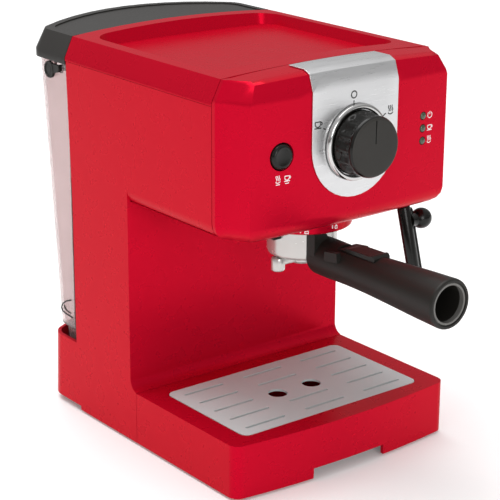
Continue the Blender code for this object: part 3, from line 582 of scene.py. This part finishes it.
def makeBowl(b):
    low, high, r = b["low"], b["high"], b["radius"]
    foot = arcPoints((r - 3.2, low + 3.2), 3.2, -90, 0, 7)
    rim = [(r, high - 0.5), (r - 0.4, high), (23.9, high), (23.6, high - 0.3)]
    inside = [(23.6, low + 6)] + [(u, v) for u, v in reversed(arcPoints((20.4, low + 6), 3.0, -90, -10, 5))]
    profile = [(3, low), (21, low)] + foot + [(r, 165), (r, 172)] + rim + inside + [(3, low + 3)]
    bowl = turned("portafilterBowl", profile, b["centre"], "Z", satinChrome, steps=128)
    settle(bowl, "portafilter", "chrome", "portafilter_bowl")


def makeSpout(s):
    x0, y0, _ = bowlSizes["centre"]
    spout = turned("hub", [(0, 142.6), (8.0, 142.6), (9.6, 144.2), (9.8, s["top"]), (0, s["top"])],
                   (x0, y0, 0), "Z", satinChrome, steps=64)
    spout.name = "twinSpout"
    half, edge, barTop = s["barHalf"], s["barEdge"], s["top"] - 0.2
    crossBar = arcPoints((y0 + half - edge, s["barLow"] + edge), edge, -90, 0, 4)
    crossBar += [(y0 + half, barTop), (y0 - half, barTop)]
    crossBar += arcPoints((y0 - half + edge, s["barLow"] + edge), edge, 180, 270, 4)
    shape(spout, "UNION", plank("bar", crossBar, "X", -s["span"], s["span"], satinChrome))
    lip = s["tubeRadius"]
    for side in (-1, 1):
        tube = [(0, s["low"]), (lip - 0.9, s["low"]), (lip - 0.3, s["low"] + 0.4), (lip, s["low"] + 1.1),
                (lip, s["top"] - 1.2), (lip - 0.4, s["top"] - 0.4), (lip - 1.3, s["top"]), (0, s["top"])]
        shape(spout, "UNION", turned("tube", tube, (side * s["span"], y0, 0), "Z", satinChrome, steps=48))
    for side in (-1, 1):
        bore = [(0, 130), (s["boreRadius"], 130), (s["boreRadius"], 147), (0, 147)]
        shape(spout, "DIFFERENCE", turned("bore", bore, (side * s["span"], y0, 0), "Z", satinChrome,
                                          steps=32))
    spout.data.shade_smooth()
    spout.data.set_sharp_from_angle(angle=math.radians(38))
    settle(spout, "portafilter", "chrome", "spout")


def makeHandle(h):
    # The body swells towards its open end, where a ledge runs round inside the rim
    end = h["endY"]
    body = [(0, 38), (12.5, 38), (13.6, 34), (14.1, 28), (14.2, 20), (14.1, 13), (13.9, 5), (13.8, -5),
            (13.9, -15), (14.2, -27), (14.8, -40), (15.5, -54), (16.3, -68), (16.9, -80), (17.3, -90),
            (17.5, -95.5), (17.6, end + 2.6), (17.45, end + 1.3), (17.0, end + 0.4), (16.3, end),
            (15.4, end), (15.0, end + 0.3), (14.8, end + 1.0), (14.7, end + 2.4), (13.4, end + 2.7),
            (13.0, end + 3.2), (12.9, end + 6), (12.7, -60), (12.0, -59), (0, -59)]
    handle = turned("portafilterHandle", body, h["axis"], "Y", satinBlackABS, steps=96)
    neck = [(-13.8, 153), (-13.9, 172.0), (-13.2, 172.6), (-4.6, 172.6), (-3.6, 172.0), (-1.2, 168.6),
            (2.0, 165.6), (4.0, 163), (4.0, 153)]
    cheek = plank("cheek", neck, "Y", 21.5, 34, satinBlackABS)
    bed = plank("bed", [(-34.6, 164.6), (-34.6, 175), (4.6, 175), (4.6, 164.6)], "X", -7.7, 7.7,
                satinBlackABS)
    clear = turned("clear", [(0, 120), (h["clearRadius"], 120), (h["clearRadius"], 190), (0, 190)],
                   bowlSizes["centre"], "Z", satinBlackABS, steps=128)
    shape(handle, "UNION", cheek)
    for side in (-1, 1):  # pads over the clip's hinge pin
        pad = [(-4, 158.4), (8.6, 156.4), (10.2, 157.4), (9.6, 163.4), (-3, 165.0)]
        low, high = sorted((side * 11.0, side * 14.9))
        shape(handle, "UNION", plank("pad", pad, "X", low, high, satinBlackABS))
    shape(handle, "DIFFERENCE", clear, bed)
    softenEdges(handle, 0.6, 35)
    settle(handle, "portafilter", "black_plastic", "portafilter_handle")


def makeClip(c):
    # A leaf with a raised thumb end, hinged on a pin at its bowl end
    front, end, base = c["frontY"], c["endY"], c["baseZ"]
    outline = [(front + 6.5, base), (front + 6.9, base + 0.6), (front + 5, base + 1.0),
               (front + 1.2, base + 1.1), (front - 1, base + 2.6), (front - 3.5, base + 3.1),
               (front - 16, base + 3.4), (end + 5.5, base + 3.6), (end + 3.0, base + 4.4),
               (end + 1.2, base + 4.0), (end, base + 2.4), (end, base)]
    leaf = plank("basketClipLeaf", outline, "X", -c["halfWidth"], c["halfWidth"], satinBlackABS)
    softenEdges(leaf, 0.5, 30)
    settle(leaf, "clip", "black_plastic", "basket_clip")


def makeEndRing(h):
    # a mid grey ring lying against the wall inside the handle's open end: painted light on the inner rim
    end = h["endY"]
    profile = [(12.95, end + 1.0), (12.95, end + 5), (14.6, end + 5), (14.6, end + 1.2), (14.3, end + 0.9),
               (13.3, end + 0.8)]
    ring = turned("handleEndRing", profile, h["axis"], "Y", rimLightGreyABS, steps=96)
    settle(ring, "portafilter", "grey_plastic")


makeBowl(bowlSizes)
makeSpout(spoutSizes)
makeHandle(handleSizes)
makeClip(clipSizes)
makeEndRing(handleSizes)
print("portafilter made")


# Steam wand

wandSizes = {"ball": (75, 30, 189), "lean": math.radians(16), "sleeve": (12.5, 77.0), "radius": 4.7,
             "ribSide": 6.1, "ribRadius": 2.0, "leverAlong": 25.0, "leverReach": 15.5, "leverRadius": 7.8}


def alongWand(distance, side=0.0):
    # a place on the wand's centre line, measured down from its ball
    x, y, z = wandSizes["ball"]
    return (x + side, y - distance * math.sin(wandSizes["lean"]), z - distance * math.cos(wandSizes["lean"]))


def makeWand(w):
    high, low = w["sleeve"]
    r = w["radius"]
    profile = [(3.2, -low), (r - 0.9, -low), (r - 0.3, -low + 0.4), (r, -low + 1.2), (r + 0.2, -high - 3),
               (r + 0.1, -high - 1), (r - 0.5, -high - 0.2), (r - 1.0, -high), (3.2, -high)]
    sleeve = turned("frothSleeve", profile, w["ball"], "Z", polishedBlackABS, steps=64, lean=w["lean"])
    route = [alongWand(low - 3 - i * 3.0, w["ribSide"]) for i in range(20)]
    rib = hose("sleeveRib", route, w["ribRadius"], polishedBlackABS)
    settle(rib, "steam_wand", "black_plastic")
    settle(sleeve, "steam_wand", "black_plastic", "froth_sleeve")
    ball = [(8 * math.sin(math.radians(a)), -8 * math.cos(math.radians(a))) for a in range(0, 181, 9)]
    ball[0], ball[-1] = (0, -8), (0, 8)
    settle(turned("wandBall", ball, w["ball"], "Z", polishedBlackABS, steps=48), "wand_swivel",
           "black_plastic", "wand_ball")

    reach, big = w["leverReach"], w["leverRadius"]
    neck = [(0, 3.4), (5.6, 3.4), (5.0, 5.4), (4.7, 7.2), (4.8, 8.6)]  # flares out to meet the sleeve
    egg = [(big * math.sin(math.radians(a)), reach - 1.04 * big * math.cos(math.radians(a)))
           for a in range(38, 181, 8)]
    egg[-1] = (0, reach + 1.04 * big)
    grip = alongWand(w["leverAlong"])
    lever = turned("wandLever", neck + egg, grip, "X", polishedBlackABS, steps=56)
    settle(lever, "steam_wand", "black_plastic", "wand_lever")


makeWand(wandSizes)
print("steam wand made")


# Water tank: bail, a black strip of painted shade in the slit beside it, and finger grip

tankSizes = {  # places are (y, z)
    "side": 97.3, "edge": 100.0, "pivot": (231.0, 265.5), "bar": (219.6, 268.0), "bossRadius": 6.5,
    "rib": ((212.5, 86.6), (217.5, 84.9), (222.5, 82.2), (225.6, 79.2), (226.6, 76.6), (225.0, 74.2),
            (221, 73.4), (216, 73.0), (211, 72.7)),
    "groove": ((222.3, 79.4), (221.8, 78.0), (220.0, 76.6), (216.8, 75.9), (213.4, 75.7)),
}


def makeBail(t):
    y, z = t["pivot"]
    barY, barZ = t["bar"]
    edge = t["edge"]
    bail = turned("bar", [(0, -edge + 0.4), (2.2, -edge + 0.4), (2.6, -edge + 0.8), (2.6, edge - 0.8),
                          (2.2, edge - 0.4), (0, edge - 0.4)], (0, barY, barZ), "X", satinBlackABS,
                  steps=32)
    bail.name = "tankBail"
    for side in (-1, 1):
        inner, outer = side * (t["side"] + 0.3), side * edge
        r = t["bossRadius"]
        boss = [(0, inner), (r - 0.3, inner), (r, inner + side * 0.3), (r, outer - side * 0.5),
                (r - 0.5, outer), (r - 1.5, outer), (r - 1.9, outer - side * 0.7),
                (r - 3.2, outer - side * 0.7), (r - 3.5, outer - side * 0.2), (0, outer - side * 0.2)]
        arm = [(barY - 2.4, barZ - 2.5), (y + 1, z - 4), (y + 1, z + 5), (barY - 2.4, barZ + 2.5)]
        low, high = sorted((inner, outer - side * 0.4))
        shape(bail, "UNION", turned("boss", boss, (0, y, z), "X", satinBlackABS, steps=56),
              plank("arm", arm, "X", low, high, satinBlackABS))
    bail.data.shade_smooth()
    bail.data.set_sharp_from_angle(angle=math.radians(35))
    settle(bail, "bail", "black_plastic", "tank_handle")


def makeTankGapShadeAndGrip(t):
    # A black strip is painted shade: it stands in for the shadow in the slit between housing and tank. A
    # moulded rib marks the finger grip
    for side in (-1, 1):
        x = side * (t["side"] + 0.5)
        low, high = sorted((x, x - side * 4))
        # painted shade: a dark strip where the slit between housing and tank lies in shadow
        strip = plank("gapShadeStrip" + ("Left" if side < 0 else "Right"),
                      [(203.2, 66), (206.6, 66), (206.9, 120), (206.9, 262), (203.2, 262)], "X", low, high,
                      blackRubberAndGapShade)
        settle(strip, "housing", "rubber")
        rib = [(x, y, z) for y, z in t["rib"]]
        grip = hose("gripRib" + ("Left" if side < 0 else "Right"), rib, 0.55, satinBlackABS, sides=12)
        settle(grip, "tank", "black_plastic")
        inner = [(x, y, z) for y, z in t["groove"]]
        mark = hose("gripGroove" + ("Left" if side < 0 else "Right"), inner, 0.5, satinBlackABS, sides=12)
        settle(mark, "tank", "black_plastic")


makeBail(tankSizes)
makeTankGapShadeAndGrip(tankSizes)
print("tank details made")


# Printed marks

def printSurface(node, direction):
    # gives a function that drops a place in mm onto the node's outside along a direction
    graph = bpy.context.evaluated_depsgraph_get()
    tree = BVHTree.FromObject(nodes[node], graph)

    def drop(x, z):
        start = at(x, 0, z) - Vector(direction) * 60 * mm
        spot, normal, _, _ = tree.ray_cast(start, Vector(direction))
        return spot, normal
    return drop


def printMark(name, strokes, middle, drop, widthMm, ink):
    # Each stroke is a line of (right, up) places in mm about the middle, laid on the surface as a thin band
    film = bmesh.new()
    lift, half = 0.05 * mm, widthMm * mm / 2
    for stroke in strokes:
        spots = [drop(middle[0] + u, middle[1] + v) for u, v in stroke]
        spots = [(spot + lift * normal, normal) for spot, normal in spots if spot is not None]
        pairs = []
        for k, (spot, normal) in enumerate(spots):
            ahead = (spots[min(k + 1, len(spots) - 1)][0] - spots[max(k - 1, 0)][0]).normalized()
            side = ahead.cross(normal).normalized() * half
            pairs.append((film.verts.new(spot - side), film.verts.new(spot + side)))
        for (a, b), (c, d) in zip(pairs, pairs[1:]):
            film.faces.new((a, b, d, c))
    mesh = bpy.data.meshes.new(name)
    film.to_mesh(mesh)
    film.free()
    mesh.materials.append(ink)
    mark = bpy.data.objects.new(name, mesh)
    bpy.context.scene.collection.objects.link(mark)
    thick = mark.modifiers.new("inkFilm", "SOLIDIFY")
    thick.thickness = 0.04 * mm
    settle(mark, "housing", "black_plastic")


def ringStroke(radius, start=0, end=360, steps=20, centre=(0, 0)):
    return arcPoints(centre, radius, start, end, steps)


def bar(u0, v0, u1, v1):
    return [(u0 + (u1 - u0) * i / 3, v0 + (v1 - v0) * i / 3) for i in range(4)]


def steamStrokes(size):
    # three wisps rising from a curved base
    waves = [ringStroke(0.95 * size, 215, 325, 8, (0, -0.15 * size))]
    for shift in (-0.55, 0, 0.55):
        waves.append([(size * (shift + 0.16 * math.sin(i * math.pi / 4)), size * (-0.45 + 0.18 * i))
                      for i in range(9)])
    return waves


def cupStrokes(size):
    half, rim = 0.8 * size, 0.5 * size
    bowl = [(-half, rim)] + ringStroke(half, 190, 350, 8, (0, 0.1 * size)) + [(half, rim)]
    handle = ringStroke(0.35 * size, -80, 80, 6, (0.85 * size, 0.05 * size))
    saucer = bar(-size, -0.95 * size, size, -0.95 * size)
    return [bowl, bar(-half, rim, half, rim), handle, saucer]


def powerStrokes(size):
    return [ringStroke(0.8 * size, 120, 420, 14), bar(0, 0.1 * size, 0, size)]


def lockStrokes(size, unlocked):
    lift = 0.35 * size if unlocked else 0
    body = [(-0.55 * size, -0.7 * size), (0.55 * size, -0.7 * size), (0.55 * size, 0.1 * size),
            (-0.55 * size, 0.1 * size), (-0.55 * size, -0.7 * size)]
    return [body, ringStroke(0.38 * size, 0, 180, 8, (0, 0.15 * size + lift))]


trimMarks = {  # strokes, place across and up in mm, width of the line
    "ringMark": ([ringStroke(2.4)], (-2.8, 276.4), 0.9),
    "ringTick": ([bar(0, -1.9, 0, 1.9)], (-2.8, 270.4), 0.8),
    "cupMark": (cupStrokes(3.0), (-34.0, 260.2), 0.8),
    "cupTick": ([bar(-1.2, 0.5, 1.2, -0.5)], (-28.3, 256.2), 0.8),
    "steamMark": (steamStrokes(3.0), (31.4, 261.2), 0.8),
    "steamTick": ([bar(-1.6, -1.1, 1.6, 1.1)], (25.3, 258.0), 0.8),
}
maskMarks = {
    "buttonSteam": (steamStrokes(2.4), (-66, 227), 0.6),
    "buttonSteamBar": ([bar(-1.6, 0, 1.6, 0)], (-66, 223.2), 0.6),
    "buttonCup": (cupStrokes(2.4), (-58.5, 227), 0.6),
    "buttonCupBar": ([bar(-1.6, 0, 1.6, 0)], (-58.5, 223.2), 0.6),
    "lampPowerMark": (powerStrokes(2.7), (71.8, 250.9), 0.6),
    "lampCupMark": (cupStrokes(2.4), (71.8, 242.2), 0.6),
    "lampSteamMark": (steamStrokes(2.5), (71.8, 233.4), 0.6),
}


def printPanel():
    face = printSurface("front_mask", (0, 1, 0))
    plate = printSurface("trim_plate", (0, 1, 0))
    for marks, drop, ink in ((trimMarks, plate, blackInk), (maskMarks, face, whiteInk)):
        for name, (strokes, place, width) in marks.items():
            printMark(name, strokes, place, drop, width, ink)


def printCollar():
    x0, y0, _ = collarSizes["centre"]
    radius = collarSizes["outer"]

    def drop(x, z):
        depth = math.sqrt(radius ** 2 - (x - x0) ** 2)
        out = Vector((x - x0, -depth, 0)).normalized()
        return at(x, y0 - depth, z), out

    for name, x, z, unlocked in (("unlockMark", -20.5, 175.7, True), ("lockMark", 1.2, 177.2, False)):
        printMark(name, lockStrokes(1.9, unlocked), (x, z), drop, 0.8, whiteInk)
        printMark(name + "Tick", [bar(0, -1.3, 0, 1.3)], (x - 3.4, z + 0.3), drop, 0.9, whiteInk)


printPanel()
printCollar()
print("printed marks made")
